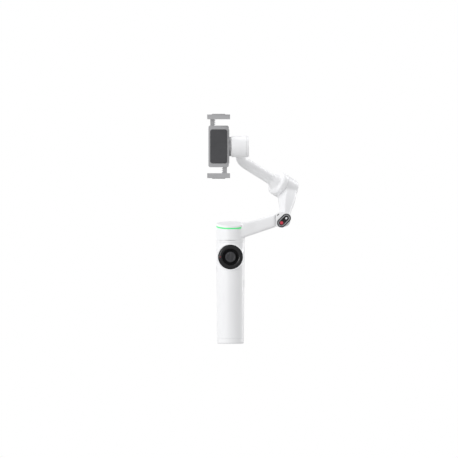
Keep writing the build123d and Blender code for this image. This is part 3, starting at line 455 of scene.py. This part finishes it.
def pill(x, z, length, width, tilt, count=12):
    """A round-ended bar, tilted in degrees from +X towards +Z; count is steps per end."""
    cos, sin = math.cos(math.radians(tilt)), math.sin(math.radians(tilt))
    radius = width / 2
    points = []
    for side in (1, -1):
        for i in range(count + 1):
            a = -side * math.pi / 2 + math.pi * i / count
            u = side * (length - width) / 2 + radius * math.cos(a)
            w = radius * math.sin(a)
            points.append((x + u * cos - w * sin, z + u * sin + w * cos))
    return points


# the red dot takes the red key material, whose faint glow is painted glow
plate("pad_mark_left", disc(x=-13.3, z=112.6, radius=0.5),
      y=-19.70, thick=0.12, body="control_pad", slot="red_key")
plate("elbow_tick", pill(x=61.75, z=167.3, length=3.4, width=0.95, tilt=43),
      y=-8.24, thick=0.14, body="pan_head", slot="black_gloss")

# ------------------------------------------------------------------ floor
FLOOR_HALF, FLOOR_Z = 8, -0.0006
FLOOR_GLOW = 0.62   # strength for all but camera rays, which see full white


def make_floor():
    mesh = bpy.data.meshes.new("floor")
    corners = ((-1, -1), (1, -1), (1, 1), (-1, 1))
    mesh.from_pydata([(x * FLOOR_HALF, y * FLOOR_HALF, FLOOR_Z) for x, y in corners],
                     [], [(0, 1, 2, 3)])
    floor = add_object("floor", mesh)
    mat = bpy.data.materials.new("floor_white")
    tree = empty_tree(mat)
    output = add_node(tree, "OutputMaterial")
    rays = add_node(tree, "LightPath")
    strength = add_node(tree, "MapRange", {
        "Value": rays.outputs["Is Camera Ray"], "To Min": FLOOR_GLOW, "To Max": 1.0})
    glow = add_node(tree, "Emission", {"Strength": strength.outputs["Result"]})
    tree.links.new(glow.outputs[0], output.inputs[0])
    mesh.materials.append(mat)


make_floor()

# ------------------------------------------------------------------ world
# (position, light level) across the room, from far left (-X) to far right (+X)
ROOM = [(0.0, 0.80), (0.14, 1.12), (0.30, 1.15), (0.43, 0.60),
        (0.56, 0.60), (0.70, 0.68), (0.88, 0.50), (1.0, 1.05)]
ROOM_STRENGTH = 1.03
END_BLUE, INNER_BLUE = 1.005, 1.012   # blue gain at the two ends and in between


def make_world():
    """Plain white to the camera; everything else is lit by the room levels."""
    world = bpy.data.worlds.new("studio")
    scene.world = world
    tree = empty_tree(world)
    output = add_node(tree, "OutputWorld")
    backdrop = add_node(tree, "Background", {"Color": (1, 1, 1, 1), "Strength": 1.0})
    room = add_node(tree, "Background", {"Strength": ROOM_STRENGTH})
    rays = add_node(tree, "LightPath")
    mixed = add_node(tree, "MixShader", {
        0: rays.outputs["Is Camera Ray"], 1: room.outputs[0], 2: backdrop.outputs[0]})
    coords = add_node(tree, "TexCoord")
    split = add_node(tree, "SeparateXYZ", {0: coords.outputs["Generated"]})
    across = add_node(tree, "MapRange", {
        "Value": split.outputs["X"], "From Min": -1.0, "From Max": 1.0})
    ramp = add_node(tree, "ValToRGB", {"Fac": across.outputs["Result"]})
    elements = ramp.color_ramp.elements
    for i, (position, level) in enumerate((ROOM[0], ROOM[-1])):
        elements[i].position = position
        elements[i].color = (level, level, level * END_BLUE, 1)
    for position, level in ROOM[1:-1]:
        elements.new(position).color = (level, level, level * INNER_BLUE, 1)
    set_inputs(tree, room, {"Color": ramp.outputs["Color"]})
    tree.links.new(mixed.outputs[0], output.inputs[0])


make_world()

# ------------------------------------------------------------------ lights
LIGHT_TARGET = Vector((0, 0, 0.15))


def area_light(name, location, size, power):
    """A rectangular light, size (width, height), aimed at the middle of the gimbal."""
    data = bpy.data.lights.new(name, "AREA")
    data.shape = "RECTANGLE"
    data.size, data.size_y = size
    data.energy = power
    obj = add_object(name, data)
    obj.location = location
    aim = LIGHT_TARGET - Vector(location)
    obj.rotation_euler = aim.to_track_quat("-Z", "Y").to_euler()
    obj.visible_camera = False


area_light("key", location=(-0.92, -1.22, 0.42), size=(0.32, 0.5), power=5.6)
area_light("strip_left", location=(-1.3, -0.5, 0.3), size=(0.25, 1.2), power=2.2)
area_light("rim_right", location=(1.0, 0.75, 0.35), size=(0.3, 1.2), power=7.0)
area_light("top", location=(0.1, 0.2, 1.4), size=(0.8, 0.8), power=4.6)

# ------------------------------------------------------------------ camera
SENSOR = 36.0           # mm
CAMERA_DISTANCE = 6.0   # in front of y = 0
VIEW_WIDTH = 0.5954     # width seen at y = 0

camera_data = bpy.data.cameras.new("camera")
camera_data.sensor_width = SENSOR
camera_data.lens = SENSOR * CAMERA_DISTANCE / VIEW_WIDTH
camera_data.clip_end = 50
camera = add_object("camera", camera_data)
camera.location = (-0.00195, -CAMERA_DISTANCE, 0.1489)
camera.rotation_euler = (math.radians(90), 0, 0)
scene.camera = camera
scene.view_settings.view_transform = "Standard"
scene.view_settings.look = "None"
